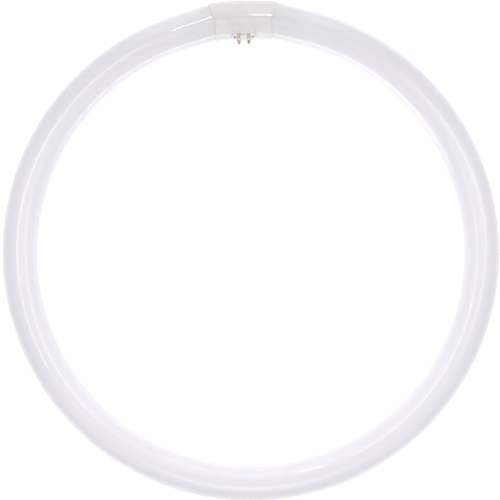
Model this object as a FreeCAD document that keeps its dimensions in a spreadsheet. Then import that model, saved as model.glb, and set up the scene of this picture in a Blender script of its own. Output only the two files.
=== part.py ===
import FreeCAD, Part
import math
import os
import Sketcher

# Circular fluorescent lamp, lying flat. Millimetres.
# The origin is the ring's centre in the tube's middle plane. The cap is at +Y, and the pins point
# inward and up. Two frames recur below. The end frame has its origin in the cap's mouth, on the axis
# of the straight glass end, with its first axis into the cap and its second one across the tube. The
# pin frame lies square to the pins, at a stated distance from the cap's centre line.

SIZES = [
    ("ring_diameter", 406.4, "over the glass"),
    ("tube_diameter", 29.0, "glass tube, outside"),
    ("glass_wall", 0.9, "glass tube"),
    ("run_out_angle", 15.5, "from the cap's centre to where the glass runs straight, degrees"),
    ("seat_length", 2.5, "full tube diameter inside the mouth"),
    ("shoulder_radius", 3.0, "both bends of the shoulder"),
    ("neck_step", 2.3, "by which the neck is thinner than the tube, all round"),
    ("neck_length", 1.8, "straight part of the neck"),
    ("funnel_diameter", 11.0, "mouth of the stem's funnel"),
    ("funnel_rim", 2.2, "flat glass between the funnel and the bend to the neck"),
    ("funnel_depth", 5.0, "from the glass end to the funnel's floor"),
    ("floor_diameter", 8.6, "floor of the funnel"),
    ("pinch_thickness", 2.0, "glass behind the funnel's floor"),
    ("exhaust_diameter", 4.0, "sealed exhaust tube in the funnel"),
    ("exhaust_reach", 1.5, "exhaust tip beyond the glass end"),
    ("mouth_half", 23.9, "cap centre to the outer half's mouth"),
    ("mouth_step", 1.05, "by which the inner half is shorter at each end"),
    ("cap_bend", 275.0, "radius of the cap's centre line"),
    ("lip_wall", 1.0, "cap over the seat gap, where the tube enters"),
    ("cap_wall", 1.2, "cap around the middle chamber"),
    ("seat_gap", 0.1, "between glass and cap"),
    ("seam_gap", 0.15, "between the two halves"),
    ("web_depth", 7.8, "from the mouth to the chamber"),
    ("tongue_length", 14.0, "locating tongues of the outer half"),
    ("tongue_reach", 2.5, "past the seam"),
    ("tongue_wall", 0.9, "thickness of a tongue"),
    ("pin_cant", 34.0, "pins above the ring's plane, degrees"),
    ("pitch_along", 7.92, "pins along the tube"),
    ("pitch_across", 6.35, "pins across the tube"),
    ("pin_diameter", 2.35, "brass pin, outside"),
    ("pin_wall", 0.3, "brass pin"),
    ("tip_wall", 0.6, "closed tip of a pin"),
    ("pin_reach", 5.2, "free length beyond the boss"),
    ("pin_gap", 0.04, "between a pin and its hole"),
    ("tip_round", 0.5, "round at the pin's tip"),
    ("flange_diameter", 3.5, "pin's flange inside the cap"),
    ("flange_thickness", 0.5, "pin's flange"),
    ("swage_diameter", 3.0, "swaged ring on the boss"),
    ("swage_height", 0.6, "swaged ring"),
    ("boss_rise", 3.3, "boss face above the cap's round side"),
    ("boss_length", 17.4, "boss along the tube"),
    ("boss_width", 9.8, "boss across the tube"),
    ("boss_corner", 2.6, "corner radius of the boss"),
    ("boss_round", 0.7, "round along the boss face"),
    ("sleeve_diameter", 4.2, "sleeves for the pins inside the cap"),
    ("sleeve_length", 2.6, "sleeves inside the chamber wall"),
    ("dimple_diameter", 2.2, "blind holes beside the pins"),
    ("dimple_depth", 1.8, "blind holes"),
    ("dimple_pitch", 14.2, "between the blind holes"),
    ("slot_width", 0.9, "slot between the upper pins"),
    ("slot_depth", 0.7, "slot between the upper pins"),
    ("slot_margin", 0.5, "from the slot's ends to the swaged rings"),
    ("lead_diameter", 0.6, "lead wire"),
    ("lead_spread", 6.0, "between the two leads of a stem"),
    ("lead_stub", 1.2, "from the glass end to the lead's first bend"),
    ("lead_bow", 5.2, "from the pin's sleeve back to the lead's second bend"),
]

# Values that follow from the sizes
PLACES = [
    ("tube_radius", "sizes.tube_diameter / 2"),
    ("ring_radius", "sizes.ring_diameter / 2 - tube_radius"),
    ("run_out_x", "ring_radius * sin(sizes.run_out_angle)"),
    ("run_out_y", "ring_radius * cos(sizes.run_out_angle)"),
    ("straight_length", "(run_out_x - sizes.mouth_half) / cos(sizes.run_out_angle)"),
    ("mouth_y", "run_out_y + straight_length * sin(sizes.run_out_angle)"),
    ("neck_radius", "tube_radius - sizes.neck_step"),
    ("end_radius", "neck_radius - sizes.funnel_diameter / 2 - sizes.funnel_rim"),
    ("shoulder_run", "sqrt(4 * sizes.shoulder_radius * sizes.neck_step - sizes.neck_step ^ 2)"),
    ("shoulder_middle", "sizes.seat_length + shoulder_run / 2"),
    ("shoulder_end", "sizes.seat_length + shoulder_run"),
    ("neck_end", "shoulder_end + sizes.neck_length"),
    ("glass_end", "neck_end + end_radius"),
    ("floor_at", "glass_end - sizes.funnel_depth"),
    ("slope_in", "shoulder_run / (2 * sizes.shoulder_radius)"),
    ("slope_across", "1 - sizes.neck_step / (2 * sizes.shoulder_radius)"),
    ("cap_radius", "tube_radius + sizes.seat_gap + sizes.lip_wall"),
    ("cap_sag", "sizes.cap_bend - sqrt(sizes.cap_bend ^ 2 - sizes.mouth_half ^ 2)"),
    ("cap_y", "mouth_y + cap_sag"),
    ("bend_y", "cap_y - sizes.cap_bend"),
    ("chamber_radius", "cap_radius - sizes.cap_wall"),
    ("chamber_half", "sizes.mouth_half - sizes.web_depth * cos(sizes.run_out_angle)"),
    ("clear_of_cap", "4 * cap_radius"),
    ("boss_root", "chamber_radius / 2"),
    ("boss_reach", "cap_radius + sizes.boss_rise"),
    ("sleeve_at", "chamber_radius - sizes.sleeve_length"),
    ("tip_at", "boss_reach + sizes.pin_reach"),
    ("bore_end", "tip_at - sizes.tip_wall"),
]

# Corners of the pin rectangle, as signs along and across the tube
PIN_CORNERS = [(-1, 1), (1, 1), (-1, -1), (1, -1)]

SAME_PLACE = 1e-5  # points closer than this are one
BEND_SHARE = 0.45  # of a lead's straight run, which the bend at each of its ends takes
VOLUME_ERROR = 0.01  # of a lead, against its section times its length


def fill_sheet(doc, name, rows):
    """One row of the sheet for each value: the alias, the value and what it is."""
    sheet = doc.addObject("Spreadsheet::Sheet", name)
    for number, (alias, value, meaning) in enumerate(rows, start=1):
        sheet.set(f"A{number}", alias)
        sheet.set(f"B{number}", str(value))
        sheet.set(f"C{number}", meaning)
        sheet.setAlias(f"B{number}", alias)
    doc.recompute()
    return sheet


def place_rows():
    """Formulas of the second sheet, which names its own cells without a prefix."""
    return [(alias, "=" + formula, "follows from the sizes") for alias, formula in PLACES]


def new_body(doc, name):
    body = doc.addObject("PartDesign::Body", name)
    body.Label = name
    return body


def origin_feature(body, role):
    return next(f for f in body.Origin.OriginFeatures if f.Role == role)


def turned_about(axis):
    """A place turned by one degree, so that it keeps its axis until an expression sets the angle."""
    return FreeCAD.Placement(FreeCAD.Vector(), FreeCAD.Rotation(axis, 1))


def new_sketch(body, name, role, frame=None):
    """Sketch on one of the body's origin planes. A frame is an axis and the expressions that move it."""
    sketch = body.newObject("Sketcher::SketchObject", name)
    sketch.AttachmentSupport = [(origin_feature(body, role), "")]
    sketch.MapMode = "FlatFace"
    if frame:
        axis, offsets = frame
        sketch.AttachmentOffset = turned_about(axis)
        for path, formula in offsets.items():
            sketch.setExpression(f"AttachmentOffset.{path}", formula)
    return sketch


def value_of(sketch, formula):
    """The number that an expression gives, without its unit."""
    result = sketch.evalExpression(formula)
    return float(getattr(result, "Value", result))


def bind_point(sketch, geometry, point, across, up):
    """Ties one point of a sketch to two expressions, measured from the sketch's origin."""
    for kind, formula in (("DistanceX", across), ("DistanceY", up)):
        value = value_of(sketch, formula)
        index = sketch.addConstraint(Sketcher.Constraint(kind, -1, 1, geometry, point, value))
        sketch.setExpression(f"Constraints[{index}]", formula)


def arc_between(start, end, radius, turn):
    """Arc of the given radius from start to end. turn is 1 for a left-hand bend and -1 for a right."""
    chord = end - start
    middle = (start + end) / 2
    normal = FreeCAD.Vector(-chord.y, chord.x, 0).normalize()
    rise = math.sqrt(radius**2 - (chord.Length / 2) ** 2)
    return Part.Arc(start, middle + normal * (turn * (rise - radius)), end)


def draw_outline(sketch, corners):
    """Closed outline. A corner is (across, up) and, where its next side is an arc, a radius and a turn."""
    points = [
        FreeCAD.Vector(value_of(sketch, corner[0]), value_of(sketch, corner[1]), 0)
        for corner in corners
    ]
    ends = []
    for index, corner in enumerate(corners):
        start, end = points[index], points[(index + 1) % len(points)]
        if len(corner) == 2:
            geometry = sketch.addGeometry(Part.LineSegment(start, end), False)
            ends.append((geometry, 1, 2))
            continue
        radius, turn = corner[2], corner[3]
        arc = arc_between(start, end, value_of(sketch, radius), turn)
        geometry = sketch.addGeometry(arc, False)
        drawn_forward = sketch.getPoint(geometry, 1).distanceToPoint(start) < SAME_PLACE
        ends.append((geometry, 1, 2) if drawn_forward else (geometry, 2, 1))
    for index, (geometry, _, last) in enumerate(ends):
        following, first, _ = ends[(index + 1) % len(ends)]
        sketch.addConstraint(Sketcher.Constraint("Coincident", geometry, last, following, first))
    for (geometry, first, _), corner in zip(ends, corners):
        bind_point(sketch, geometry, first, corner[0], corner[1])
        if len(corner) == 4:
            value = value_of(sketch, corner[2])
            index = sketch.addConstraint(Sketcher.Constraint("Radius", geometry, value))
            sketch.setExpression(f"Constraints[{index}]", corner[2])


def draw_circle(sketch, across, up, radius):
    centre = FreeCAD.Vector(value_of(sketch, across), value_of(sketch, up), 0)
    circle = Part.Circle(centre, FreeCAD.Vector(0, 0, 1), value_of(sketch, radius))
    geometry = sketch.addGeometry(circle, False)
    bind_point(sketch, geometry, 3, across, up)
    index = sketch.addConstraint(Sketcher.Constraint("Radius", geometry, circle.Radius))
    sketch.setExpression(f"Constraints[{index}]", radius)


def turn_profile(body, kind, name, sketch, axis, angle, both_ways):
    """Revolution or Groove of a sketch about one of its own axes or an axis of the body."""
    feature = body.newObject(f"PartDesign::{kind}", name)
    feature.Profile = sketch
    feature.ReferenceAxis = axis
    feature.setExpression("Angle", angle)
    feature.Midplane = both_ways
    body.Document.recompute()
    return feature


def raise_profile(body, kind, name, sketch, length, both_ways=False):
    """Pad or Pocket of a sketch."""
    feature = body.newObject(f"PartDesign::{kind}", name)
    feature.Profile = sketch
    feature.setExpression("Length", length)
    feature.Midplane = both_ways
    body.Document.recompute()
    return feature


def mirror(body, name, features, role):
    mirrored = body.newObject("PartDesign::Mirrored", name)
    mirrored.Originals = features
    mirrored.MirrorPlane = (origin_feature(body, role), [""])
    body.Tip = mirrored
    body.Document.recompute()
    return mirrored


def end_frame():
    """The end frame of the right-hand glass end, for a sketch on the ring's plane."""
    return FreeCAD.Vector(0, 0, 1), {
        "Rotation.Angle": "180 deg - sizes.run_out_angle * 1 deg",
        "Base.x": "sizes.mouth_half",
        "Base.y": "places.mouth_y",
    }


def bend_frame():
    """A frame whose upright axis is the centre of the cap's bend, for a sketch across the cap."""
    return FreeCAD.Vector(0, 0, 1), {"Rotation.Angle": "0 deg", "Base.x": "places.bend_y"}


def pin_frame(distance):
    """The pin frame at a distance from the cap's centre line, for a sketch on the XZ plane."""
    return FreeCAD.Vector(1, 0, 0), {
        "Rotation.Angle": "-sizes.pin_cant * 1 deg",
        "Base.y": f"({distance}) * sin(sizes.pin_cant)",
        "Base.z": f"({distance}) * cos(sizes.pin_cant) - places.cap_y",
    }


# Glass


def glass_end_outline():
    """Section of the glass end: outside from the run-out to the exhaust tip, and back inside."""
    start = "-places.straight_length"
    middle_up = "(places.tube_radius + places.neck_radius) / 2"
    thin = "sizes.glass_wall"
    return [
        (start, "places.tube_radius"),
        ("sizes.seat_length", "places.tube_radius", "sizes.shoulder_radius", -1),
        ("places.shoulder_middle", middle_up, "sizes.shoulder_radius", 1),
        ("places.shoulder_end", "places.neck_radius"),
        ("places.neck_end", "places.neck_radius", "places.end_radius", -1),
        ("places.glass_end", "places.neck_radius - places.end_radius"),
        ("places.glass_end", "sizes.funnel_diameter / 2"),
        ("places.floor_at", "sizes.floor_diameter / 2"),
        ("places.floor_at", "sizes.exhaust_diameter / 2"),
        ("places.glass_end + sizes.exhaust_reach", "sizes.exhaust_diameter / 2",
         "sizes.exhaust_diameter / 2", -1),
        ("places.glass_end + sizes.exhaust_reach + sizes.exhaust_diameter / 2", "0"),
        ("places.floor_at - sizes.pinch_thickness", "0"),
        ("places.floor_at - sizes.pinch_thickness", f"sizes.floor_diameter / 2 + {thin}"),
        (f"places.glass_end - {thin}", f"sizes.funnel_diameter / 2 + {thin}"),
        (f"places.glass_end - {thin}", "places.neck_radius - places.end_radius",
         f"places.end_radius - {thin}", 1),
        ("places.neck_end", f"places.neck_radius - {thin}"),
        ("places.shoulder_end", f"places.neck_radius - {thin}",
         f"sizes.shoulder_radius + {thin}", -1),
        (f"places.shoulder_middle - {thin} * places.slope_in",
         f"{middle_up} - {thin} * places.slope_across", f"sizes.shoulder_radius - {thin}", 1),
        ("sizes.seat_length", f"places.tube_radius - {thin}"),
        (start, f"places.tube_radius - {thin}"),
    ]


def glass_tube(doc):
    """A ring of tube, open behind the cap, whose straight ends close in necked and sealed stems."""
    body = new_body(doc, "glass_tube")
    section = new_sketch(body, "ring_section", "YZ_Plane")
    draw_circle(section, "-places.ring_radius", "0", "places.tube_radius")
    draw_circle(section, "-places.ring_radius", "0", "places.tube_radius - sizes.glass_wall")
    upright = (origin_feature(body, "Z_Axis"), [""])
    sweep = "360 deg - 2 * sizes.run_out_angle * 1 deg"
    turn_profile(body, "Revolution", "bent_ring", section, upright, sweep, True)
    outline = new_sketch(body, "glass_end_section", "XY_Plane", end_frame())
    draw_outline(outline, glass_end_outline())
    end = turn_profile(
        body, "Revolution", "sealed_end", outline, (outline, ["H_Axis"]), "360 deg", False
    )
    mirror(body, "both_ends", [end], "YZ_Plane")
    return body


# Cap


def half_section(outward):
    """D-shaped section of one half about the cap's centre line, its flat side at the seam."""
    seam = f"sizes.cap_bend + {outward} * sizes.seam_gap / 2"
    height = "sqrt(places.cap_radius ^ 2 - (sizes.seam_gap / 2) ^ 2)"
    return [(seam, f"-{height}", "places.cap_radius", outward), (seam, height)]


def cap_shell(doc, name, outward):
    """Solid half of the cap along its bend, before anything is cut from it."""
    body = new_body(doc, name)
    section = new_sketch(body, f"{name}_section", "YZ_Plane", bend_frame())
    draw_outline(section, half_section(outward))
    angle = "2 * asin((sizes.mouth_half + places.cap_radius) / sizes.cap_bend)"
    turn_profile(body, "Revolution", f"{name}_form", section, (section, ["V_Axis"]), angle, True)
    return body


def cut_chamber(body):
    """The middle chamber, between the two webs that hold the glass necks."""
    section = new_sketch(body, f"{body.Name}_chamber_section", "YZ_Plane", bend_frame())
    draw_circle(section, "sizes.cap_bend", "0", "places.chamber_radius")
    angle = "2 * asin(places.chamber_half / sizes.cap_bend)"
    axis = (section, ["V_Axis"])
    turn_profile(body, "Groove", f"{body.Name}_chamber", section, axis, angle, True)


def seat_outline():
    """Room for the glass end: the glass outline and the seat gap, from outside the mouth inward."""
    clear = "sizes.seat_gap"
    middle_up = "(places.tube_radius + places.neck_radius) / 2"
    outside = "-places.cap_radius"
    return [
        (outside, "0"),
        (outside, f"places.tube_radius + {clear}"),
        ("sizes.seat_length", f"places.tube_radius + {clear}",
         f"sizes.shoulder_radius + {clear}", -1),
        (f"places.shoulder_middle + {clear} * places.slope_in",
         f"{middle_up} + {clear} * places.slope_across", f"sizes.shoulder_radius - {clear}", 1),
        ("places.shoulder_end", f"places.neck_radius + {clear}"),
        ("places.glass_end", f"places.neck_radius + {clear}"),
        ("places.glass_end", "0"),
    ]


def cut_seats(body):
    """Both seats, shaped to the glass shoulders and necks."""
    outline = new_sketch(body, f"{body.Name}_seat_section", "XY_Plane", end_frame())
    draw_outline(outline, seat_outline())
    axis = (outline, ["H_Axis"])
    seat = turn_profile(body, "Groove", f"{body.Name}_seat", outline, axis, "360 deg", False)
    mirror(body, f"{body.Name}_seats", [seat], "YZ_Plane")


def trim_ends(body, corners, frame=None):
    """Cuts the far end of a half by a closed outline in the ring's plane, and mirrors the cut."""
    outline = new_sketch(body, f"{body.Name}_end_outline", "XY_Plane", frame)
    draw_outline(outline, corners)
    depth = "places.clear_of_cap"
    cut = raise_profile(body, "Pocket", f"{body.Name}_end", outline, depth, both_ways=True)
    mirror(body, f"{body.Name}_ends", [cut], "YZ_Plane")


def cap_outer_half(doc):
    """Outer shell, cut square to the glass at its mouths, with tongues that reach past the seam."""
    body = cap_shell(doc, "cap_outer_half", 1)
    cut_chamber(body)
    cut_seats(body)
    far = "places.clear_of_cap"
    beyond_mouth = [("0", f"-{far}"), ("0", far), (f"-{far}", far), (f"-{far}", f"-{far}")]
    trim_ends(body, beyond_mouth, end_frame())
    section = new_sketch(body, "tongue_section", "YZ_Plane", bend_frame())
    top = "sqrt(places.chamber_radius ^ 2 - sizes.tongue_reach ^ 2) - sizes.seat_gap"
    root = "places.chamber_radius + sizes.cap_wall / 2"
    seam = "sizes.cap_bend + sizes.seam_gap / 2"
    draw_outline(section, [
        ("sizes.cap_bend - sizes.tongue_reach", f"{top} - sizes.tongue_wall"),
        ("sizes.cap_bend + sizes.tongue_reach", f"{top} - sizes.tongue_wall"),
        ("sizes.cap_bend + sizes.tongue_reach", root),
        (seam, root),
        (seam, top),
        ("sizes.cap_bend - sizes.tongue_reach", top),
    ])
    angle = "2 * asin(sizes.tongue_length / 2 / sizes.cap_bend)"
    tongue = turn_profile(
        body, "Revolution", "upper_tongue", section, (section, ["V_Axis"]), angle, True
    )
    mirror(body, "both_tongues", [tongue], "XY_Plane")
    return body


def rounded_rectangle(length, width, corner):
    """Corners and corner arcs of a rounded rectangle about the sketch's origin, anticlockwise."""
    along, across = f"({length}) / 2", f"({width}) / 2"
    inner_along, inner_across = f"({along} - {corner})", f"({across} - {corner})"
    return [
        (f"-{inner_along}", f"-{across}"),
        (inner_along, f"-{across}", corner, 1),
        (along, f"-{inner_across}"),
        (along, inner_across, corner, 1),
        (inner_along, across),
        (f"-{inner_along}", across, corner, 1),
        (f"-{along}", inner_across),
        (f"-{along}", f"-{inner_across}", corner, 1),
    ]


def pin_circles(sketch, radius):
    for along, across in PIN_CORNERS:
        draw_circle(
            sketch, f"{along} * sizes.pitch_along / 2", f"{across} * sizes.pitch_across / 2", radius
        )


def pin_direction(size):
    cant = math.radians(size("pin_cant"))
    return FreeCAD.Vector(0, -math.cos(cant), math.sin(cant))


def add_boss(body, size):
    """Canted boss with rounded corners and a rounded rim."""
    outline = new_sketch(body, "boss_outline", "XZ_Plane", pin_frame("places.boss_root"))
    draw_outline(
        outline, rounded_rectangle("sizes.boss_length", "sizes.boss_width", "sizes.boss_corner")
    )
    boss = raise_profile(body, "Pad", "boss", outline, "places.boss_reach - places.boss_root")
    direction = pin_direction(size)
    rim = []
    for number, edge in enumerate(boss.Shape.Edges, start=1):
        reaches = [(v.Point - FreeCAD.Vector(0, size("cap_y"), 0)).dot(direction)
                   for v in edge.Vertexes]
        if all(abs(reach - size("boss_reach")) < SAME_PLACE for reach in reaches):
            rim.append(f"Edge{number}")
    rounded = body.newObject("PartDesign::Fillet", "boss_rim")
    rounded.Base = (boss, rim)
    rounded.setExpression("Radius", "sizes.boss_round")
    body.Document.recompute()


def cap_inner_half(doc, size):
    """Inner shell with the pin boss, four sleeves behind it, two blind holes and a slot."""
    body = cap_shell(doc, "cap_inner_half", -1)
    add_boss(body, size)
    cut_chamber(body)
    cut_seats(body)
    near, far = "sizes.mouth_half - sizes.mouth_step", "sizes.mouth_half + places.clear_of_cap"
    low, high = "places.cap_y - places.clear_of_cap", "places.cap_y + places.clear_of_cap"
    trim_ends(body, [(near, low), (far, low), (far, high), (near, high)])
    sleeves = new_sketch(body, "sleeve_circles", "XZ_Plane", pin_frame("places.sleeve_at"))
    pin_circles(sleeves, "sizes.sleeve_diameter / 2")
    raise_profile(body, "Pad", "sleeves", sleeves, "sizes.sleeve_length")
    holes = new_sketch(body, "pin_hole_circles", "XZ_Plane", pin_frame("places.boss_reach"))
    pin_circles(holes, "sizes.pin_diameter / 2 + sizes.pin_gap")
    raise_profile(body, "Pocket", "pin_holes", holes, "places.boss_reach - places.boss_root")
    dimples = new_sketch(body, "dimple_circles", "XZ_Plane", pin_frame("places.boss_reach"))
    for side in (-1, 1):
        draw_circle(dimples, f"{side} * sizes.dimple_pitch / 2", "0", "sizes.dimple_diameter / 2")
    raise_profile(body, "Pocket", "dimples", dimples, "sizes.dimple_depth")
    slot = new_sketch(body, "slot_outline", "XZ_Plane", pin_frame("places.boss_reach"))
    length = "(sizes.pitch_along - sizes.swage_diameter - 2 * sizes.slot_margin)"
    row = "sizes.pitch_across / 2"
    draw_outline(slot, [
        (f"-{length} / 2", f"{row} - sizes.slot_width / 2"),
        (f"{length} / 2", f"{row} - sizes.slot_width / 2"),
        (f"{length} / 2", f"{row} + sizes.slot_width / 2"),
        (f"-{length} / 2", f"{row} + sizes.slot_width / 2"),
    ])
    raise_profile(body, "Pocket", "slot", slot, "sizes.slot_depth")
    return body


# Pins and leads


def pin_outline():
    """Half section of a pin, from its flange to its closed tip, along the sketch's upright axis."""
    outside = "sizes.pin_diameter / 2"
    bore = f"({outside} - sizes.pin_wall)"
    flange_at = "places.sleeve_at - sizes.flange_thickness"
    return [
        (bore, flange_at),
        ("sizes.flange_diameter / 2", flange_at),
        ("sizes.flange_diameter / 2", "places.sleeve_at"),
        (outside, "places.sleeve_at"),
        (outside, "places.boss_reach"),
        ("sizes.swage_diameter / 2", "places.boss_reach"),
        (outside, "places.boss_reach + sizes.swage_height"),
        (outside, "places.tip_at - sizes.tip_round", "sizes.tip_round", 1),
        (f"{outside} - sizes.tip_round", "places.tip_at"),
        ("0", "places.tip_at"),
        ("0", "places.bore_end"),
        (bore, "places.bore_end"),
    ]


def contact_pin(doc, number, along, across):
    """Hollow pin, turned about its own axis and then set in its corner of the boss."""
    body = new_body(doc, f"contact_pin_{number}")
    section = new_sketch(body, f"pin_section_{number}", "XZ_Plane")
    draw_outline(section, pin_outline())
    axis = (section, ["V_Axis"])
    turn_profile(body, "Revolution", f"pin_form_{number}", section, axis, "360 deg", False)
    row = f"{across} * sizes.pitch_across / 2"
    body.Placement = turned_about(FreeCAD.Vector(1, 0, 0))
    body.setExpression("Placement.Rotation.Angle", "90 deg - sizes.pin_cant * 1 deg")
    body.setExpression("Placement.Base.x", f"{along} * sizes.pitch_along / 2")
    body.setExpression("Placement.Base.y", f"places.cap_y + {row} * sin(sizes.pin_cant)")
    body.setExpression("Placement.Base.z", f"{row} * cos(sizes.pin_cant)")
    return body


def rounded_path(points):
    """Straight runs joined by tangent arcs, each as wide as the shorter of its two runs allows."""
    edges = []
    at = points[0]
    for before, corner, after in zip(points, points[1:], points[2:]):
        back, on = before - corner, after - corner
        half = back.getAngle(on) / 2
        cut = BEND_SHARE * min(back.Length, on.Length)
        back.normalize()
        on.normalize()
        bisector = (back + on).normalize()
        radius = cut * math.tan(half)
        centre = corner + bisector * (cut / math.cos(half))
        entry, leave = corner + back * cut, corner + on * cut
        edges.append(Part.makeLine(at, entry))
        edges.append(Part.Arc(entry, centre - bisector * radius, leave).toShape())
        at = leave
    edges.append(Part.makeLine(at, points[-1]))
    return Part.Wire(edges)


def lead_route(size, along, across):
    """From the funnel's floor, past the exhaust tip, to the closed end of the pin's bore."""
    run_out = math.radians(size("run_out_angle"))
    mouth = FreeCAD.Vector(along * size("mouth_half"), size("mouth_y"), 0)
    inward = FreeCAD.Vector(-along * math.cos(run_out), math.sin(run_out), 0)
    spread = FreeCAD.Vector(0, 0, across * size("lead_spread") / 2)
    cant = math.radians(size("pin_cant"))
    pin_way = pin_direction(size)
    upward = FreeCAD.Vector(0, math.sin(cant), math.cos(cant))
    foot = FreeCAD.Vector(along * size("pitch_along") / 2, size("cap_y"), 0)
    foot = foot + upward * (across * size("pitch_across") / 2)
    return [
        mouth + inward * size("floor_at") + spread,
        mouth + inward * (size("glass_end") + size("lead_stub")) + spread,
        foot + pin_way * (size("sleeve_at") - size("lead_bow")),
        foot + pin_way * size("bore_end"),
    ]


def lead_wire(doc, number, size, along, across):
    """Round wire along its route. It touches the funnel's floor and the end of the pin's bore."""
    route = lead_route(size, along, across)
    path = rounded_path(route)
    radius = size("lead_diameter") / 2
    ring = Part.Wire(Part.makeCircle(radius, route[0], route[1] - route[0]))
    wire = path.makePipeShell([ring], True, False)
    expected = math.pi * radius**2 * path.Length
    if abs(wire.Volume / expected - 1) > VOLUME_ERROR:
        raise ValueError(f"lead {number} has {wire.Volume:.2f} mm3 and not {expected:.2f}")
    lead = doc.addObject("Part::Feature", f"lead_wire_{number}")
    lead.Label = f"lead_wire_{number}"
    lead.Shape = wire
    return lead


def check_and_export(doc, parts):
    doc.recompute()
    failed = [o.Label for o in doc.Objects if {"Invalid", "Error"} & set(o.State)]
    if failed:
        raise RuntimeError(f"these objects failed: {failed}")
    for part in parts:
        shape = part.Shape
        if shape.isNull() or not shape.isValid() or not shape.Solids:
            raise RuntimeError(f"{part.Label} is not a valid solid")
    os.makedirs("parts", exist_ok=True)
    for part in parts:
        part.Shape.exportStep(f"parts/{part.Label}.step")
        print(f"{part.Label}: {len(part.Shape.Solids)} solid, {part.Shape.Volume:.1f} mm3")


def main():
    doc = FreeCAD.newDocument("circular_lamp")
    sizes = fill_sheet(doc, "sizes", SIZES)
    places = fill_sheet(doc, "places", place_rows())
    own = {row[0] for row in SIZES}

    def size(alias):
        value = (sizes if alias in own else places).get(alias)
        return float(getattr(value, "Value", value))

    parts = [glass_tube(doc), cap_outer_half(doc), cap_inner_half(doc, size)]
    for number, (along, across) in enumerate(PIN_CORNERS, start=1):
        parts.append(contact_pin(doc, number, along, across))
        parts.append(lead_wire(doc, number, size, along, across))
    check_and_export(doc, parts)


main()
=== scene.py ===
# %% [markdown]
# # A circular fluorescent lamp
# The lamp is a glass tube, coated inside with white phosphor and bent into a ring. Its two ends meet in
# a moulded plastic cap with four brass pins. This first cell loads the CAD model as a fixed frame in
# metres. The origin is the ring's centre, +Z is up and the cap is at +Y, so each piece below is made
# where the CAD model has it.

# %% The CAD model as a frame
import bmesh
import bpy
import math
from contextlib import contextmanager
from mathutils import Matrix, Vector


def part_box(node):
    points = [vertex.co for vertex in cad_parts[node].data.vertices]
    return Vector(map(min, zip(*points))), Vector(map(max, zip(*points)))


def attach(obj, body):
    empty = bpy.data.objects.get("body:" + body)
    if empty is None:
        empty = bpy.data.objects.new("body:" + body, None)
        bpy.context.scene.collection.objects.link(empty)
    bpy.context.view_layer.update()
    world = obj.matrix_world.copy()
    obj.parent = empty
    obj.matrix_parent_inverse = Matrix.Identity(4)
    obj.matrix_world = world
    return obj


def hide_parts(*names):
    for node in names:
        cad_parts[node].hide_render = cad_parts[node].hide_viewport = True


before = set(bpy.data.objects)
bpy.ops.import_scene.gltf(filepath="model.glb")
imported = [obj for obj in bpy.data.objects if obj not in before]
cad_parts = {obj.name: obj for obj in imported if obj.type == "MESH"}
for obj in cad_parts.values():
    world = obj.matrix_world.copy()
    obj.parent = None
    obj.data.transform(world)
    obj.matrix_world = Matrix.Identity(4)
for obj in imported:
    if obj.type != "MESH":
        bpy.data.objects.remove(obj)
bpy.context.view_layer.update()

print("nodes:", ", ".join(sorted(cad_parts)))

# %% [markdown]
# ## Sizes
# The scene repeats the few real sizes that its own pieces need. Every other place follows from them:
# the glass leaves the ring's circle at the run-out, goes on straight and enters the cap at its mouth.

# %% Sizes in metres
MM = 0.001
RING_RADIUS = 188.7 * MM
TUBE_RADIUS = 14.5 * MM
RUN_OUT = math.radians(15.5)
MOUTH_HALF = 23.9 * MM
STRAIGHT = (RING_RADIUS * math.sin(RUN_OUT) - MOUTH_HALF) / math.cos(RUN_OUT)
MOUTH_Y = RING_RADIUS * math.cos(RUN_OUT) + STRAIGHT * math.sin(RUN_OUT)
print(f"straight glass {STRAIGHT / MM:.2f} mm, mouth at y {MOUTH_Y / MM:.2f} mm")

# %% [markdown]
# ## Working as by hand
# Its place goes into its mesh at once, because a finished piece has its object at the origin.

# %% Helpers for edit mode
def select_only(*pieces):
    bpy.ops.object.select_all(action="DESELECT")
    for piece in pieces:
        piece.select_set(True)
    bpy.context.view_layer.objects.active = pieces[0]


def start_piece(name, place, add, **values):
    """A primitive at a place, with that place already in its mesh."""
    bpy.ops.object.select_all(action="DESELECT")
    add(**values)
    piece = bpy.context.object
    piece.name = piece.data.name = name
    piece.matrix_world = place @ piece.matrix_world
    bpy.ops.object.transform_apply(location=True, rotation=True, scale=True)
    return piece


@contextmanager
def editing(piece, select=True):
    """Edit mode on one piece, with all of its mesh selected or none."""
    select_only(piece)
    bpy.ops.object.mode_set(mode="EDIT")
    bpy.ops.mesh.select_all(action="SELECT" if select else "DESELECT")
    yield
    bpy.ops.object.mode_set(mode="OBJECT")


def axes_place(across, up, along, origin):
    """The matrix whose X, Y and Z axes point along three directions, at an origin."""
    turn = Matrix((across, up, along)).transposed().to_4x4()
    return Matrix.Translation(origin) @ turn


def report(piece):
    low = [min(v.co[i] for v in piece.data.vertices) / MM for i in range(3)]
    high = [max(v.co[i] for v in piece.data.vertices) / MM for i in range(3)]
    box = " ".join(f"{a:.1f}..{b:.1f}" for a, b in zip(low, high))
    print(f"{piece.name}: {len(piece.data.polygons)} faces, box in mm {box}")


# %% [markdown]
# ## The glass ring
# On the real lamp one straight tube is softened in a furnace and wound round a drum, so it has the same
# round section all the way. A curve with a round bevel would do, or a torus. Spin is the better match:
# it sweeps one circle of vertices about the lamp's axis just as the drum does, and leaves an open rim
# where the straight end is welded on. Half of the ring is enough, because the other half mirrors it.

# %% Half of the ring, by spin
AROUND = 96
RING_STEPS = 150
UP = Vector((0, 0, 1))


def circle(name, place, radius, vertices=AROUND, fill_type="NGON"):
    """A circle at a place: a disc or, with the fill type NOTHING, an open ring."""
    add = bpy.ops.mesh.primitive_circle_add
    return start_piece(name, place, add, vertices=vertices, radius=radius, fill_type=fill_type)


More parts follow.
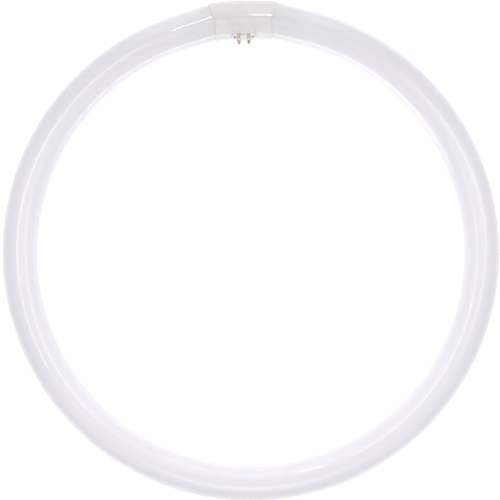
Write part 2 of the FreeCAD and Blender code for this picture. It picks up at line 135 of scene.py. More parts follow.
far_side = axes_place(UP, Vector((0, -1, 0)), Vector((1, 0, 0)), (0, -RING_RADIUS, 0))
glass = circle("lamp_glass", far_side, TUBE_RADIUS, fill_type="NOTHING")
with editing(glass):
    bpy.ops.mesh.spin(steps=RING_STEPS, angle=math.pi - RUN_OUT, center=(0, 0, 0), axis=(0, 0, 1))
report(glass)

# %% [markdown]
# ## The sealed end
# Inside the cap the tube narrows in a shoulder to a neck, which the cap's web grips, and closes round a
# funnel-shaped stem with a stub of exhaust tube. A glass blower makes that end on a lathe, so here too
# it grows ring by ring along its own axis: extrude the open rim, then scale the new one.

# %% The end's profile
SEAT = 2.5 * MM
SHOULDER = 3.0 * MM
NECK_RADIUS = 12.2 * MM
NECK_LENGTH = 1.8 * MM
END_ROUND = 4.5 * MM
FUNNEL_RADIUS, FLOOR_RADIUS, FUNNEL_DEPTH = 5.5 * MM, 4.3 * MM, 5.0 * MM
EXHAUST_RADIUS, EXHAUST_REACH = 2.0 * MM, 1.5 * MM
TIP_ROUND = 0.7  # of its radius, for the one ring that rounds the exhaust tip
NECK_STEP = TUBE_RADIUS - NECK_RADIUS
SHOULDER_RUN = math.sqrt(4 * SHOULDER * NECK_STEP - NECK_STEP**2)
SHOULDER_SWEEP = math.asin(SHOULDER_RUN / (2 * SHOULDER))
SHOULDER_END = SEAT + SHOULDER_RUN
NECK_END = SHOULDER_END + NECK_LENGTH
GLASS_END = NECK_END + END_ROUND
ARC_STEPS = 6


def bend_rings(start, radius, bend, sweep, hollow=False):
    """Rings along an arc that turns from straight ahead towards the axis, or back from it."""
    rings = []
    for step in range(1, ARC_STEPS + 1):
        angle = sweep * step / ARC_STEPS
        if hollow:
            left = sweep - angle
            ahead = bend * (math.sin(sweep) - math.sin(left))
            inward = bend * (math.cos(left) - math.cos(sweep))
        else:
            ahead, inward = bend * math.sin(angle), bend * (1 - math.cos(angle))
        rings.append((start + ahead, radius - inward))
    return rings


def shoulder_rings(clear=0.0):
    """From the full tube to the neck. A clearance gives the cap's seat instead of the glass."""
    rings = bend_rings(SEAT, TUBE_RADIUS + clear, SHOULDER + clear, SHOULDER_SWEEP)
    return rings + bend_rings(*rings[-1], SHOULDER - clear, SHOULDER_SWEEP, hollow=True)


def grow_rings(rings):
    """Extrudes the selected rim through (height, radius) rings along Z. Radius 0 closes it."""
    for (height, radius), (next_height, next_radius) in zip(rings, rings[1:]):
        rise = (0, 0, next_height - height)
        bpy.ops.mesh.extrude_region_move(TRANSFORM_OT_translate={"value": rise})
        if next_radius == 0:
            bpy.ops.mesh.merge(type="CENTER")
            return
        scale = next_radius / radius
        bpy.ops.transform.resize(value=(scale, scale, 1), center_override=(0, 0, next_height))


end_rings = [(-STRAIGHT, TUBE_RADIUS), (0, TUBE_RADIUS), (SEAT, TUBE_RADIUS)] + shoulder_rings()
end_rings += [(NECK_END, NECK_RADIUS)] + bend_rings(NECK_END, NECK_RADIUS, END_ROUND, math.pi / 2)
end_rings += [
    (GLASS_END, FUNNEL_RADIUS),
    (GLASS_END - FUNNEL_DEPTH, FLOOR_RADIUS),
    (GLASS_END - FUNNEL_DEPTH, EXHAUST_RADIUS),
    (GLASS_END + EXHAUST_REACH, EXHAUST_RADIUS),
    (GLASS_END + EXHAUST_REACH + EXHAUST_RADIUS * TIP_ROUND, EXHAUST_RADIUS * TIP_ROUND),
    (GLASS_END + EXHAUST_REACH + EXHAUST_RADIUS, 0),
]
print(f"{len(end_rings)} rings, glass ends {GLASS_END / MM:.2f} mm inside the mouth")

# %% [markdown]
# The end is grown upright about the Z axis, where a ring needs only a height and a radius. Then one
# matrix lays it into the cap's mouth, in line with the straight glass.

# %% The end, grown and set in place
rim_place = Matrix.Translation((0, 0, end_rings[0][0]))
glass_end = circle("glass_end", rim_place, TUBE_RADIUS, fill_type="NOTHING")
with editing(glass_end):
    grow_rings(end_rings)

into_cap = Vector((-math.cos(RUN_OUT), math.sin(RUN_OUT), 0))
mouth = Vector((MOUTH_HALF, MOUTH_Y, 0))
end_place = axes_place(UP, into_cap.cross(UP), into_cap, mouth)
glass_end.data.transform(end_place)
report(glass_end)

# %% [markdown]
# The end is welded to the ring by merging the two rims, whose vertices lie in the same places. Then a
# mirror makes the other half. Both steps can leave faces that look inward, so the normals are
# recalculated last. Of two close vertices a weld keeps one, and which one depends on their numbers. A
# boolean numbers its result anew in each run, so each mesh is first sorted by distance from one point.
# That point lies off every plane of symmetry, or vertices that mirror each other would tie.

# %% One closed glass skin
WELD = 0.01 * MM
SORT_POINT = (0.061, 0.257, 0.083)


def apply_modifier(piece, kind, **settings):
    select_only(piece)
    modifier = piece.modifiers.new(kind.lower(), kind)
    for name, value in settings.items():
        setattr(modifier, name, value)
    bpy.ops.object.modifier_apply(modifier=modifier.name)


def put_in_order(piece):
    """Numbers the mesh by distance from one point, for the same weld in each run."""
    bpy.context.scene.cursor.location = SORT_POINT
    with editing(piece):
        bpy.ops.mesh.sort_elements(type="CURSOR_DISTANCE", elements={"VERT", "EDGE", "FACE"})
    bpy.context.scene.cursor.location = (0, 0, 0)


def close_up(piece):
    """Merges doubled vertices and turns all faces outward."""
    put_in_order(piece)
    with editing(piece):
        bpy.ops.mesh.remove_doubles(threshold=WELD)
        bpy.ops.mesh.normals_make_consistent(inside=False)


def open_edges(piece):
    """How many edges don't lie between exactly two faces."""
    with editing(piece, select=False):
        bpy.ops.mesh.select_non_manifold()
        return sum(edge.select for edge in bmesh.from_edit_mesh(piece.data).edges)


def smooth(piece, degrees):
    """Smooth shading over each edge that bends by less than an angle."""
    select_only(piece)
    bpy.ops.object.shade_smooth_by_angle(angle=math.radians(degrees))


select_only(glass, glass_end)
bpy.ops.object.join()
close_up(glass)
apply_modifier(glass, "MIRROR", use_axis=(True, False, False), merge_threshold=WELD)
close_up(glass)
left_open = open_edges(glass)
smooth(glass, 40)
report(glass)
print("open edges left in the glass:", left_open)

# %% [markdown]
# ## The cap's two shells
# Two moulded half shells close round the glass ends and meet in a seam along the middle. A lathe or a
# plain cylinder can't give their gentle bend. So a disc is cut in half at the seam, leaving a D, and
# that face is spun about the centre of the bend. Bisect trims the ends later.

# %% Cap sizes
LIP = 1.1 * MM  # the seat's gap and the lip over it
CAP_RADIUS = TUBE_RADIUS + LIP
CAP_BEND = 275.0 * MM
BEND_Y = MOUTH_Y - math.sqrt(CAP_BEND**2 - MOUTH_HALF**2)
CAP_Y = BEND_Y + CAP_BEND
MOUTH_STEP = 1.05 * MM
INNER_MOUTH = MOUTH_HALF - MOUTH_STEP
SEAM_GAP = 0.15 * MM
SEAT_GAP = 0.1 * MM
MOULD_EDGE = 0.2 * MM
EDGE_SEGMENTS = 3
SHARP = math.radians(40)
CAP_STEPS = 48
ALONG_X = Vector((1, 0, 0))
print(f"cap's centre line at y {CAP_Y / MM:.2f} mm")


def bent_rod(name, radius, half_length, seam_side=0):
    """A round rod bent as the cap is, or its half outside (1) or inside (-1) the seam."""
    sweep = math.asin(half_length / CAP_BEND)
    centre = Matrix.Translation((0, BEND_Y, 0))
    start = centre @ Matrix.Rotation(sweep, 4, "Z") @ centre.inverted()
    place = axes_place(UP, Vector((0, -1, 0)), ALONG_X, (0, CAP_Y, 0))
    rod = circle(name, place, radius)
    if seam_side:
        seam = (0, CAP_Y + seam_side * SEAM_GAP / 2, 0)
        with editing(rod):
            bpy.ops.mesh.bisect(plane_co=seam, plane_no=(0, seam_side, 0), clear_inner=True)
    rod.data.transform(start)
    with editing(rod):
        bpy.ops.mesh.spin(steps=CAP_STEPS, angle=2 * sweep, center=(0, BEND_Y, 0), axis=(0, 0, 1))
    return rod


def cut_off(piece, point, outward):
    """Removes what lies beyond a plane and closes the cut."""
    with editing(piece):
        bpy.ops.mesh.bisect(plane_co=point, plane_no=outward, use_fill=True, clear_outer=True)


def soften(piece, width):
    """A round bevel on every sharp edge."""
    with editing(piece, select=False):
        bpy.ops.mesh.select_mode(type="EDGE")
        bpy.ops.mesh.edges_select_sharp(sharpness=SHARP)
        bpy.ops.mesh.bevel(
            offset=width, segments=EDGE_SEGMENTS, affect="EDGES", clamp_overlap=True
        )
        bpy.ops.mesh.select_mode(type="VERT")


# %% [markdown]
# Both halves start too long. The outer one is cut square to the glass at each mouth and the inner one
# straight across and a little shorter. A fine bevel on every sharp edge gives the soft corners of a
# mould. The halves stay solid until the boss is on.

# %% Two solid halves
beyond = CAP_RADIUS + MOUTH_HALF
outer_shell = bent_rod("cap_outer_shell", CAP_RADIUS, beyond, seam_side=1)
inner_shell = bent_rod("cap_inner_shell", CAP_RADIUS, beyond, seam_side=-1)
for side in (-1, 1):
    cut_off(outer_shell, (side * mouth.x, mouth.y, 0), (-side * into_cap.x, -into_cap.y, 0))
    cut_off(inner_shell, (side * INNER_MOUTH, 0, 0), (side, 0, 0))
for shell in (outer_shell, inner_shell):
    close_up(shell)
    soften(shell, MOULD_EDGE)
    report(shell)

# %% [markdown]
# ## The boss
# The pins stand in a low block with rounded corners. In a mould, no wall meets another in a sharp
# crease, so the block's foot flares out into the round shell. A boolean of a plain block would leave
# that crease, along a curve that climbs the shell. So the block is grown ring by ring from its face
# down. Each ring is a rounded rectangle, spread by a little more than the one above it. Below the
# walls, the rings keep a height above the round shell instead of above a plane, which turns them into
# a fillet. The last of them dips just under the shell.

# %% The boss, ring by ring
PIN_CANT = math.radians(34)
pin_way = Vector((0, -math.cos(PIN_CANT), math.sin(PIN_CANT)))
pin_up = Vector((0, math.sin(PIN_CANT), math.cos(PIN_CANT)))
pin_place = axes_place(ALONG_X, pin_up, pin_way, (0, CAP_Y, 0))
BOSS_RISE = 3.3 * MM
BOSS_FACE = CAP_RADIUS + BOSS_RISE
BOSS_ROOT = CAP_RADIUS / 2
BOSS_HALF = Vector((8.7, 4.9)) * MM
BOSS_CORNER = 2.6 * MM
BOSS_RIM = 0.9 * MM
FOOT_RADIUS = 2.3 * MM
FOOT_SUNK = 0.12 * MM
DRAFT = 0.5 * MM
RIM_STEPS, FOOT_STEPS, SIDE_CUTS = 5, 8, 7
LONG_EDGE = 1.0 * MM  # only the four straight sides of the outline are longer


def shell_height(x, up):
    """How far the round shell reaches along the pins, at a place in the boss outline."""
    sag = CAP_BEND - math.sqrt(CAP_BEND**2 - x**2)
    off_axis = up + math.sin(PIN_CANT) * sag
    return math.cos(PIN_CANT) * sag + math.sqrt(CAP_RADIUS**2 - off_axis**2)


def set_ring(vertices, spread, height=None, above_shell=0.0):
    """Moves a ring to the boss outline, spread outward, at a height or above the shell."""
    for vertex in vertices:
        core = Vector((
            max(-BOSS_HALF.x + BOSS_CORNER, min(BOSS_HALF.x - BOSS_CORNER, vertex.co.x)),
            max(-BOSS_HALF.y + BOSS_CORNER, min(BOSS_HALF.y - BOSS_CORNER, vertex.co.y)),
        ))
        at = core + (vertex.co.xy - core).normalized() * (BOSS_CORNER + spread)
        rise = height if height is not None else shell_height(*at) + above_shell
        vertex.co = (at.x, at.y, rise)


def quarter(steps):
    """The angles that divide a quarter turn, without its start."""
    return [math.pi / 2 * step / steps for step in range(1, steps + 1)]


boss_rings = []
for angle in quarter(RIM_STEPS):
    boss_rings.append(dict(
        spread=BOSS_RIM * (math.sin(angle) - 1),
        height=BOSS_FACE - BOSS_RIM * (1 - math.cos(angle)),
    ))
for angle in [0.0] + quarter(FOOT_STEPS)[:-1]:
    boss_rings.append(dict(
        spread=DRAFT + FOOT_RADIUS * (1 - math.cos(angle)),
        above_shell=FOOT_RADIUS * (1 - math.sin(angle)),
    ))
boss_rings.append(dict(spread=DRAFT + FOOT_RADIUS, above_shell=-FOOT_SUNK))
boss_rings.append(dict(spread=0.0, height=BOSS_ROOT))
boss = circle("pin_boss", Matrix.Translation((0, 0, BOSS_FACE)), BOSS_CORNER)
for vertex in boss.data.vertices:
    quadrant = Vector((math.copysign(1, vertex.co.x), math.copysign(1, vertex.co.y)))
    vertex.co.xy = vertex.co.xy + quadrant * (BOSS_HALF - Vector((BOSS_CORNER, BOSS_CORNER)))
with editing(boss):
    bpy.ops.mesh.delete(type="ONLY_FACE")
    outline = bmesh.from_edit_mesh(boss.data)
    for edge in outline.edges:
        edge.select_set(edge.calc_length() > LONG_EDGE)
    bpy.ops.mesh.subdivide(number_cuts=SIDE_CUTS)
    bpy.ops.mesh.select_all(action="SELECT")
    bpy.ops.mesh.edge_face_add()
    set_ring([v for v in outline.verts if v.select], -BOSS_RIM, BOSS_FACE)
    for ring in boss_rings:
        bpy.ops.mesh.extrude_region_move()
        body = bmesh.from_edit_mesh(boss.data)
        set_ring([v for v in body.verts if v.select], **ring)
boss.data.transform(pin_place)
close_up(boss)
report(boss)

# %% [markdown]
# ## Hollowing the shells
# Now everything that the shells make room for is taken away, with the same helpers: the middle chamber,
# the seats for both glass ends, the four pin holes, a blind hole at each side of the pins and a short
# slot between the upper two. The seat is the glass shoulder itself with a small clearance. Each cutter
# for a hole widens at the boss face, which breaks the hole's edge.

# %% Cutters
CAP_WALL = 1.2 * MM
WEB_DEPTH = 7.8 * MM
CHAMBER_RADIUS = CAP_RADIUS - CAP_WALL
CHAMBER_HALF = MOUTH_HALF - WEB_DEPTH * math.cos(RUN_OUT)
PITCH_ALONG, PITCH_ACROSS = 7.92 * MM, 6.35 * MM
PIN_HOLE = 1.215 * MM
DIMPLE_RADIUS, DIMPLE_DEPTH, DIMPLE_AT = 1.1 * MM, 1.8 * MM, 7.1 * MM
SLOT_SIZE = (3.92 * MM, 0.9 * MM, 1.4 * MM)
SLOT_ROUND = 0.2 * MM
EDGE_BREAK = 0.12 * MM
HOLE_AROUND = 48


def grown(name, place, rings, vertices=AROUND):
    """A closed turned piece: a disc grown through (height, radius) rings."""
    height, radius = rings[0]
    piece = circle(name, Matrix.Translation((0, 0, height)), radius, vertices)
    with editing(piece):
        grow_rings(rings)
    piece.data.transform(place)
    close_up(piece)
    return piece


def joined(pieces):
    select_only(*pieces)
    bpy.ops.object.join()
    return pieces[0]


chamber = bent_rod("chamber", CHAMBER_RADIUS, CHAMBER_HALF)
close_up(chamber)
seat_radius = TUBE_RADIUS + SEAT_GAP
seat_rings = [(-CAP_RADIUS, seat_radius), (SEAT, seat_radius)] + shoulder_rings(SEAT_GAP)
seat_rings += [(GLASS_END, NECK_RADIUS + SEAT_GAP), (GLASS_END + MM, 0)]
seats = grown("seats", end_place, seat_rings)
apply_modifier(seats, "MIRROR", use_axis=(True, False, False))
close_up(seats)


def hole(radius, depth, at):
    """A cutter that widens at the boss face and ends in a point above it."""
    rings = [
        (BOSS_FACE - depth, radius),
        (BOSS_FACE - EDGE_BREAK, radius),
        (BOSS_FACE, radius + EDGE_BREAK),
        (BOSS_FACE + MM, radius + EDGE_BREAK),
        (BOSS_FACE + 2 * MM, 0),
    ]
    return grown("hole", pin_place @ Matrix.Translation(at), rings, HOLE_AROUND)


corners = [(x * PITCH_ALONG / 2, y * PITCH_ACROSS / 2, 0) for y in (1, -1) for x in (-1, 1)]
holes = [hole(PIN_HOLE, BOSS_FACE / 2, corner) for corner in corners]
holes += [hole(DIMPLE_RADIUS, DIMPLE_DEPTH, (side * DIMPLE_AT, 0, 0)) for side in (-1, 1)]
slot_place = Matrix.Translation((0, PITCH_ACROSS / 2, BOSS_FACE))
slot = start_piece("slot", slot_place, bpy.ops.mesh.primitive_cube_add, size=1.0, scale=SLOT_SIZE)
soften(slot, SLOT_ROUND)
slot.data.transform(pin_place)
cutters = joined(holes + [slot])
for tool in (chamber, seats, cutters):
    report(tool)

# %% [markdown]
# The boss goes on before anything is cut, so that the chamber and the holes run through both. Weighted
# normals last: the large faces then look flat or evenly round, and only the small bevels bend the light.

# %% The shells, hollowed and finished
def combine(piece, operation, other):
    """Adds another piece to this one, or takes it away."""
    apply_modifier(piece, "BOOLEAN", operation=operation, object=other, solver="EXACT")
    put_in_order(piece)


combine(inner_shell, "UNION", boss)
for shell in (outer_shell, inner_shell):
    combine(shell, "DIFFERENCE", chamber)
    combine(shell, "DIFFERENCE", seats)
combine(inner_shell, "DIFFERENCE", cutters)
for tool in (boss, chamber, seats, cutters):
    bpy.data.objects.remove(tool)
for shell in (outer_shell, inner_shell):
    close_up(shell)
    smooth(shell, 35)
    apply_modifier(shell, "WEIGHTED_NORMAL", keep_sharp=True)
    report(shell)
    print("open or doubled edges:", open_edges(shell))

# %% [markdown]
# ## Materials
# Every finish starts from the same small tool: a node group that turns a place on the piece into fine
# grain and broad, cloudy unevenness. Each material sets its own scales. The group puts out plain masks,
# and the shader itself stays in the material.

# %% A group for grain and unevenness
def socket(group, name, direction, kind, default=None):
    made = group.interface.new_socket(name=name, in_out=direction, socket_type=kind)
    if default is not None:
        made.default_value = default


def uneven_surface_group():
    """Inputs: the place, a fine and a broad scale. Outputs: grain and clouds, both 0 to 1."""
    group = bpy.data.node_groups.new("Uneven surface", "ShaderNodeTree")
    socket(group, "Place", "INPUT", "NodeSocketVector")
    socket(group, "Grain Scale", "INPUT", "NodeSocketFloat", 2000.0)
    socket(group, "Cloud Scale", "INPUT", "NodeSocketFloat", 60.0)
    socket(group, "Grain", "OUTPUT", "NodeSocketFloat")
    socket(group, "Clouds", "OUTPUT", "NodeSocketFloat")
    nodes, links = group.nodes, group.links
    inputs, outputs = nodes.new("NodeGroupInput"), nodes.new("NodeGroupOutput")
    for scale, output, detail in (("Grain Scale", "Grain", 3.0), ("Cloud Scale", "Clouds", 5.0)):
        noise = nodes.new("ShaderNodeTexNoise")
        noise.inputs["Detail"].default_value = detail
        links.new(inputs.outputs["Place"], noise.inputs["Vector"])
        links.new(inputs.outputs[scale], noise.inputs["Scale"])
        links.new(noise.outputs["Fac"], outputs.inputs[output])
    return group


UNEVEN = uneven_surface_group()
NOISE_SPAN = (0.3, 0.7)  # what the grain mostly fills
# The mix node has sockets of one name for each kind of data, so its colours go by number.
MIX_COLOUR_A, MIX_COLOUR_B, MIX_COLOUR_OUT = 6, 7, 2


class Finish:
    """A material with its shader, and short ways to add nodes to it."""

    def __init__(self, name, **plain):
        self.material = bpy.data.materials.new(name)
        self.material.use_nodes = True
        self.nodes, self.links = self.material.node_tree.nodes, self.material.node_tree.links
        self.shader = self.nodes["Principled BSDF"]
        self.place = self.add("ShaderNodeTexCoord").outputs["Object"]
        for socket_name, value in plain.items():
            self.shader.inputs[socket_name.replace("_", " ")].default_value = value

    def add(self, kind, **inputs):
        """A node with its inputs set, or linked where the value is another node's output."""
        node = self.nodes.new(kind)
        for name, value in inputs.items():
            self.feed(node.inputs[name.replace("_", " ")], value)
        return node

    def feed(self, target, value):
        if isinstance(value, bpy.types.NodeSocket):
            self.links.new(value, target)
        else:
            target.default_value = value

    def uneven(self, grain, clouds, place=None):
        node = self.add("ShaderNodeGroup")
        node.node_tree = UNEVEN
        self.feed(node.inputs["Place"], place or self.place)
        node.inputs["Grain Scale"].default_value = grain
        node.inputs["Cloud Scale"].default_value = clouds
        return node.outputs

    def span(self, value, low, high, to_low, to_high, smooth=False):
        """Maps a value from one span to another."""
        node = self.add("ShaderNodeMapRange")
        node.interpolation_type = "SMOOTHSTEP" if smooth else "LINEAR"
        ends = {"From Min": low, "From Max": high, "To Min": to_low, "To Max": to_high}
        for name, number in ends.items():
            node.inputs[name].default_value = number
        self.feed(node.inputs["Value"], value)
        return node.outputs["Result"]

    def maths(self, operation, first, second=0.0):
        node = self.add("ShaderNodeMath")
        node.operation = operation
        self.feed(node.inputs[0], first)
        self.feed(node.inputs[1], second)
        return node.outputs["Value"]

    def blend(self, amount, first, second):
        """A colour between two colours."""
        node = self.add("ShaderNodeMix")
        node.data_type = "RGBA"
        self.feed(node.inputs["Factor"], amount)
        self.feed(node.inputs[MIX_COLOUR_A], first)
        self.feed(node.inputs[MIX_COLOUR_B], second)
        return node.outputs[MIX_COLOUR_OUT]

    def bump(self, height, distance, strength, below=None):
        node = self.add("ShaderNodeBump", Strength=strength, Distance=distance, Height=height)
        if below:
            self.feed(node.inputs["Normal"], below)
        return node.outputs["Normal"]

    def drive(self, socket_name, value):
        """Links a value to one socket of the shader."""
        self.links.new(value, self.shader.inputs[socket_name])


print("group:", UNEVEN.name)

# %% [markdown]
# ## Coated glass
# The tube looks white because a phosphor powder lines it, faintly lilac in daylight. Clear glass lies
# over the powder. The shader has the same two layers: a matt base colour under a smooth coat. The
# powder is a little thicker in some places than in others, and the ends by the cap are greyer. The
# ring's left and right sides are painted a little darker and less lilac, as painted shade for the
# weaker light that falls there. Drawn glass is never quite even, so a very shallow, wide bump makes the
# reflections waver. It stays weak, because a stronger one breaks a long, thin highlight into beads.

# %% The glass finish
LILAC = (0.748, 0.722, 0.800, 1)
# the darker, greyer lilac serves both the painted side shade and the thin places in the powder
SHADED_THIN_LILAC = (0.722, 0.707, 0.748, 1)
END_GREY = (0.690, 0.684, 0.706, 1)
# how far the painted side shade reaches from the ring's left and right sides, and how strong it is
SIDE_STARTS, SIDE_FULL, SIDE_SHADE_SHARE = 0.14, 0.05, 0.8
GREY_ENDS = (math.radians(8), math.radians(19))
WAVER, GLASS_GRAIN = 0.25 * MM, 0.004 * MM


def coated_glass():
    finish = Finish(
        "coated_glass_finish",
        Roughness=0.45,
        Coat_Weight=1.0,
        Coat_Roughness=0.03,
        Coat_IOR=1.5,
    )
    uneven = finish.uneven(grain=2600.0, clouds=28.0)
    axes = finish.add("ShaderNodeSeparateXYZ", Vector=finish.place).outputs
    from_middle = finish.maths("ABSOLUTE", axes["Y"])
    # painted shade: the ring's left and right sides get a share of the darker, greyer lilac
    painted_side_shade = finish.span(from_middle, SIDE_STARTS, SIDE_FULL, 0.0, SIDE_SHADE_SHARE, smooth=True)
    thin_and_shaded = finish.maths("ADD", painted_side_shade, finish.span(uneven["Clouds"], 0.35, 0.65, -0.1, 0.3))
    powder = finish.blend(thin_and_shaded, LILAC, SHADED_THIN_LILAC)
    from_cap = finish.maths("ABSOLUTE", finish.maths("ARCTAN2", axes["X"], axes["Y"]))
    near_cap = finish.span(from_cap, *GREY_ENDS, 1.0, 0.0, smooth=True)
    finish.drive("Base Color", finish.blend(near_cap, powder, END_GREY))
    finish.drive("Roughness", finish.span(uneven["Grain"], *NOISE_SPAN, 0.40, 0.50))
    waver = finish.bump(uneven["Clouds"], WAVER, 0.15)
    finish.drive("Normal", finish.bump(uneven["Grain"], GLASS_GRAIN, 0.4, waver))
    return finish.material


def dress(piece, material):
    """Gives a new piece its one material and the body that it rides on."""
    piece.data.materials.clear()
    piece.data.materials.append(material)
    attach(piece, "root")
    print(f"{piece.name}: {material.name}")


dress(glass, coated_glass())
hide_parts("glass_tube")

# %% [markdown]
# ## Cap plastic
# The cap is moulded in a warm white plastic that lets a little light in. A polished mould gives it a
# glossy skin, not quite even, with a very fine grain that is felt more than seen.

# %% The plastic finish
CAP_WHITE = (0.745, 0.718, 0.736, 1)
CAP_SHADE = (0.715, 0.687, 0.700, 1)
LIGHT_REACH = (0.0015, 0.0012, 0.0010)
CAP_WAVER, CAP_GRAIN = 0.03 * MM, 0.0015 * MM


def cap_plastic():
    finish = Finish(
        "cap_plastic_finish",
        Subsurface_Weight=0.15,
        Subsurface_Radius=LIGHT_REACH,
        Subsurface_Scale=1.0,
    )
    uneven = finish.uneven(grain=5200.0, clouds=110.0)
    shade = finish.span(uneven["Clouds"], 0.35, 0.7, 0.0, 1.0)
    finish.drive("Base Color", finish.blend(shade, CAP_WHITE, CAP_SHADE))
    finish.drive("Roughness", finish.span(uneven["Grain"], *NOISE_SPAN, 0.06, 0.10))
    waver = finish.bump(uneven["Clouds"], CAP_WAVER, 0.6)
    finish.drive("Normal", finish.bump(uneven["Grain"], CAP_GRAIN, 0.4, waver))
    return finish.material


def redress(node, material):
    """Gives a CAD node that stays a better material."""
    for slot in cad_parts[node].material_slots:
        slot.material = material
    print(f"{node}: {material.name}")


plastic = cap_plastic()
for shell, node in ((outer_shell, "cap_outer_half"), (inner_shell, "cap_inner_half")):
    dress(shell, plastic)
    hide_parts(node)

# %% [markdown]
# ## Brass pins
# The pins are drawn from brass strip, so fine lines run along them. The streaks are noise that is
# squeezed across the pin and stretched along it, in patches of bright and tarnished metal. The lead
# wire is plain and dull. Both keep the CAD model's shapes, which are already turned and swept true.

# %% The brass and the lead wire
BRASS = (0.66, 0.57, 0.40, 1)
BRASS_DULL = (0.34, 0.30, 0.22, 1)
LEAD_GREY = (0.72, 0.71, 0.68, 1)
LEAD_DULL = (0.5, 0.49, 0.46, 1)
TO_PIN = (PIN_CANT - math.pi / 2, 0, 0)
STRETCH = (1, 1, 0.06)
DRAWN_LINES = 0.01 * MM


def brass():
    finish = Finish("pin_brass_finish", Metallic=1.0, Roughness=0.3)
    turned = finish.add("ShaderNodeMapping", Vector=finish.place, Rotation=TO_PIN)
    drawn = finish.add("ShaderNodeMapping", Vector=turned.outputs["Vector"], Scale=STRETCH)
    uneven = finish.uneven(grain=5000.0, clouds=700.0, place=drawn.outputs["Vector"])
    tarnish = finish.span(uneven["Clouds"], 0.45, 0.75, 0.0, 0.6)
    finish.drive("Base Color", finish.blend(tarnish, BRASS, BRASS_DULL))
    finish.drive("Roughness", finish.span(uneven["Grain"], *NOISE_SPAN, 0.22, 0.38))
    finish.drive("Normal", finish.bump(uneven["Grain"], DRAWN_LINES, 0.5))
    return finish.material


def lead_metal():
    finish = Finish("lead_metal_finish", Metallic=1.0, Roughness=0.35)
    uneven = finish.uneven(grain=6000.0, clouds=900.0)
    dull = finish.span(uneven["Clouds"], 0.4, 0.7, 0.0, 0.5)
    finish.drive("Base Color", finish.blend(dull, LEAD_GREY, LEAD_DULL))
    finish.drive("Roughness", finish.span(uneven["Grain"], *NOISE_SPAN, 0.28, 0.42))
    return finish.material


pin_material, lead_material = brass(), lead_metal()
for number in range(1, 5):
    redress(f"contact_pin_{number}", pin_material)
    redress(f"lead_wire_{number}", lead_material)

# %% [markdown]
# ## Floor
# The lamp lies on a white table that is lit until it washes out, so the lamp seems to lie on nothing. A
# plain white world could stand behind it too, but nothing would then lie under the lamp to take its
# shadow. So there is a real floor, with a little glow of its own.

# %% The floor
FLOOR_SIZE = 12.0
FLOOR_GLOW = 0.28
PAPER_DARK = (0.93, 0.93, 0.93, 1)
PAPER_LIGHT = (0.95, 0.95, 0.95, 1)
floor_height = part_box("cap_outer_half")[0][2]
bpy.ops.object.select_all(action="DESELECT")
bpy.ops.mesh.primitive_plane_add(size=FLOOR_SIZE, location=(0, 0, floor_height))
floor = bpy.context.object
floor.name = "floor"
floor_finish = Finish(
    "floor_finish", Roughness=0.6, Emission_Color=(1, 1, 1, 1), Emission_Strength=FLOOR_GLOW
)
paper = floor_finish.uneven(grain=900.0, clouds=4.0)
floor_finish.drive("Base Color", floor_finish.blend(paper["Clouds"], PAPER_DARK, PAPER_LIGHT))
floor.data.materials.append(floor_finish.material)
print(f"floor at z {floor_height / MM:.2f} mm")

# %% [markdown]
# ## Camera
# The picture looks straight down and is filled by the ring. The cap is a little off the top of it. The
# lamp keeps its own axes, and the camera is rolled and shifted instead.

# %% The camera
CAMERA_HEIGHT = 1.2
SENSOR = 36.0
VIEW_WIDTH = 0.40885  # of the ring's middle plane, across the picture
ROLL = math.radians(1.9)
ACROSS_SHIFT, UP_SHIFT = -0.74 * MM, 1.88 * MM
camera_data = bpy.data.cameras.new("camera")
camera_data.sensor_width = SENSOR
camera_data.lens = SENSOR * CAMERA_HEIGHT / VIEW_WIDTH
camera = bpy.data.objects.new("camera", camera_data)
bpy.context.collection.objects.link(camera)
camera.rotation_euler = (0, 0, -ROLL)
image_across = Vector((math.cos(ROLL), -math.sin(ROLL), 0))
image_up = Vector((math.sin(ROLL), math.cos(ROLL), 0))
camera.location = image_across * ACROSS_SHIFT + image_up * UP_SHIFT + UP * CAMERA_HEIGHT
bpy.context.scene.camera = camera
print(f"lens {camera_data.lens:.1f} mm")

# %% [markdown]
# ## Light
# Smooth glass mirrors each light as a bright line, so the lines tell where the lights stand. The strips
# and windows below are placed to give those lines. The panels are broad and give soft fill: one from
# the cap's side, one from the opposite side, and one low over the middle that faces away from the cap.
# Two more panels and one window have a grid, which keeps a beam together, so that each lights one part
# of the ring. An oval glow lies on the table inside the ring and faces up.

# %% The lights
HEIGHT = 0.65
ROOM_LIGHT = 0.665
OPEN = 180


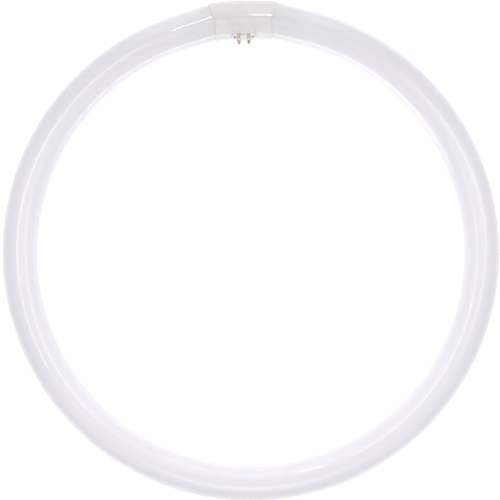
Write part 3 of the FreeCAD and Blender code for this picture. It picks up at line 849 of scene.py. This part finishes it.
def softbox(name, place, size, power, turn=0.0, towards=None, grid=OPEN, shape="RECTANGLE"):
    """An area light that faces down, turned about the vertical, or one that faces a point."""
    light = bpy.data.lights.new(name, "AREA")
    light.shape = shape
    light.size, light.size_y = size
    light.energy = power
    light.spread = math.radians(grid)
    lamp = bpy.data.objects.new(name, light)
    bpy.context.collection.objects.link(lamp)
    lamp.location = place
    lamp.rotation_euler = (0, 0, math.radians(turn))
    if towards:
        facing = Vector(towards) - Vector(place)
        lamp.rotation_euler = facing.to_track_quat("-Z", "Y").to_euler()
    lamp.visible_camera = False


LIGHTS = [
    ("strip_left_near", (-0.295, -0.045, HEIGHT), (0.20, 0.08), 0.16, dict(turn=110)),
    ("strip_left_far", (-0.21, 0.125, HEIGHT), (0.28, 0.08), 0.25, dict(turn=32)),
    ("strip_right_far", (0.37, 0.115, HEIGHT), (0.44, 0.16), 0.35, dict(turn=-15)),
    ("strip_right_near", (0.375, -0.05, HEIGHT), (0.33, 0.10), 0.17, dict(turn=21)),
    ("window_left", (-0.11, 0.47, HEIGHT), (0.11, 0.025), 0.21, dict(turn=69)),
    ("window_right", (0.035, 0.430, HEIGHT), (0.045, 0.11), 0.0038,
     dict(towards=(0.005, 0.194, 0), grid=30)),
    ("panel_back", (0.0, 1.2, 0.55), (1.2, 0.9), 2.7, dict(towards=(0, -0.19, 0))),
    ("panel_middle", (0.0, 0.05, 0.26), (0.60, 0.30), 0.26, dict(towards=(0, -0.85, -0.17))),
    ("panel_front", (0.0, -0.75, HEIGHT), (1.6, 0.8), 1.5, dict(towards=(0, -0.15, 0))),
    ("panel_low", (0.0, -0.50, 0.55), (0.6, 0.4), 0.058, dict(towards=(0, -0.22, 0), grid=36)),
    ("panel_high", (0.0, 0.0, 0.85), (0.6, 0.5), 0.034, dict(towards=(0, 0.22, 0), grid=36)),
    ("table_glow", (0.015, 0.065, -0.0150), (0.19, 0.11), 0.090,
     dict(towards=(0.015, 0.065, 1.0), shape="ELLIPSE")),
]
for name, place, size, power, aim in LIGHTS:
    softbox(name, place, size, power, **aim)
world = bpy.data.worlds.new("studio")
world.use_nodes = True
background = world.node_tree.nodes["Background"]
background.inputs["Color"].default_value = (1, 1, 1, 1)
background.inputs["Strength"].default_value = ROOM_LIGHT
bpy.context.scene.world = world
bpy.context.scene.view_settings.view_transform = "Standard"
print(f"{len(LIGHTS)} lights, room light {ROOM_LIGHT}")
